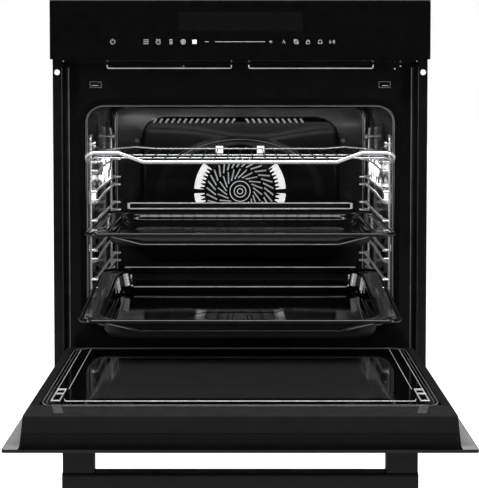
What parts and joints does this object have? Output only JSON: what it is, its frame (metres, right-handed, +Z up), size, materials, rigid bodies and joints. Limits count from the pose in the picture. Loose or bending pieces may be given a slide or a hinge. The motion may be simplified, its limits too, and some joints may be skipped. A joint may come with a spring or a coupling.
{
  "type": "wall oven",
  "caption": "Built-in electric wall oven with a drop-down door, touch panel, hot-air fan, side racks, wire shelf and enamelled trays.",
  "frame": {"origin": "centre of the base's front edge: on the niche shelf, in the cabinet's front plane, on the oven's mid plane", "axes": "+X to the right as the user faces the oven, +Y into the cabinet niche, +Z up; rest is the door open with the shelves pulled out"},
  "size_m": [0.595, 1.0395, 0.644],
  "materials": {
    "black_enamel": "gloss black enamel",
    "cavity_enamel": "gloss black vitreous enamel",
    "tray_enamel": "gloss black vitreous enamel",
    "mineral_wool": "matt needled mineral wool",
    "galvanised_steel": "zinc coated sheet",
    "black_glass": "polished black-backed glass",
    "dark_trim": "dark anodised",
    "black_plastic": "fine moulded texture",
    "display_plastic": "smoked display window",
    "circuit_board": "green laminate with parts",
    "steel_screw": "plain bright steel",
    "element_steel": "heat-darkened steel tube",
    "motor_steel": "plain motor steel",
    "chrome_wire": "polished chrome wire",
    "lamp_frame": "pressed aluminium",
    "lamp_glass": "frosted heat-resistant glass",
    "gasket_rubber": "woven heat-resistant seal",
    "pale_plastic": "moulded terminal plastic",
    "clear_glass": "clear coated glass",
    "tinted_glass": "dark printed glass with a dotted window",
    "clip_plastic": "grey moulded clip",
    "handle_black": "satin black coat",
    "white_ceramic": "white glazed spacer"
  },
  "bodies": {
    "root": {"front_frame": "black_enamel", "cavity": "cavity_enamel", "insulation": "mineral_wool", "side_panel_left": "galvanised_steel", "side_panel_right": "galvanised_steel", "top_cover": "galvanised_steel", "rear_cover": "galvanised_steel", "base_plate": "galvanised_steel", "control_glass": "black_glass", "control_trim": "dark_trim", "control_box": "black_plastic", "display_module": "display_plastic", "touch_board": "circuit_board", "power_board": "circuit_board", "fan_baffle": "cavity_enamel", "baffle_screws": "element_steel", "ring_element": "element_steel", "fan_motor": "motor_steel", "grill_element": "element_steel", "bottom_element": "element_steel", "side_rack_left": "chrome_wire", "side_rack_right": "chrome_wire", "rack_studs": "steel_screw", "lamp_housing_left": "lamp_frame", "lamp_housing_right": "lamp_frame", "lamp_glass_left": "lamp_glass", "lamp_glass_right": "lamp_glass", "door_gasket": "gasket_rubber", "hinge_bracket_left": "galvanised_steel", "hinge_bracket_right": "galvanised_steel", "hinge_pins": "steel_screw", "blower_housing": "galvanised_steel", "blower_motor": "motor_steel", "air_duct": "galvanised_steel", "terminal_block": "pale_plastic", "temperature_probe": "element_steel"},
    "door": {"door_outer_glass": "black_glass", "door_middle_glass": "clear_glass", "door_inner_glass": "tinted_glass", "door_rail_left": "black_plastic", "door_rail_right": "black_plastic", "door_top_cap": "black_plastic", "door_air_strip": "black_plastic", "door_bottom_bar": "black_plastic", "glass_clips": "clip_plastic", "handle": "handle_black", "handle_screws": "steel_screw", "hinge_arms": "galvanised_steel"},
    "wire_shelf": {"wire_shelf": "chrome_wire", "shelf_stops": "white_ceramic"},
    "shallow_tray": {"shallow_tray": "tray_enamel"},
    "deep_tray": {"deep_tray": "tray_enamel"},
    "fan": {"fan_wheel": "motor_steel", "fan_shaft": "steel_screw", "fan_nut": "steel_screw"},
    "blower": {"blower_wheel": "motor_steel", "blower_shaft": "steel_screw"}
  },
  "joints": [
    {"name": "door_hinge", "type": "hinge", "parent": "root", "child": "door", "pos_m": [0, -0.0115, 0.016], "axis": [-1, 0, 0], "range_deg": [0, 90]},
    {"name": "wire_shelf_slide", "type": "slide", "parent": "root", "child": "wire_shelf", "axis": [0, 1, 0], "range_m": [0, 0.1061]},
    {"name": "shallow_tray_slide", "type": "slide", "parent": "root", "child": "shallow_tray", "axis": [0, 1, 0], "range_m": [0, 0.1281]},
    {"name": "deep_tray_slide", "type": "hinge", "parent": "root", "child": "deep_tray", "pos_m": [0, 0.23824, -2.73661], "axis": [-1, 0, 0], "range_deg": [0, 4.8]},
    {"name": "fan_spin", "type": "hinge", "parent": "root", "child": "fan", "pos_m": [0, 0.43, 0.262], "axis": [0, 1, 0], "continuous": true},
    {"name": "blower_spin", "type": "hinge", "parent": "root", "child": "blower", "pos_m": [0, 0.33, 0.52], "axis": [1, 0, 0], "continuous": true}
  ],
  "couplings": [
    {"joint": "wire_shelf_slide", "follows": "door_hinge", "m_per_rad": 0.067482},
    {"joint": "shallow_tray_slide", "follows": "door_hinge", "m_per_rad": 0.081487},
    {"joint": "deep_tray_slide", "follows": "door_hinge", "ratio": 0.053333}
  ]
}
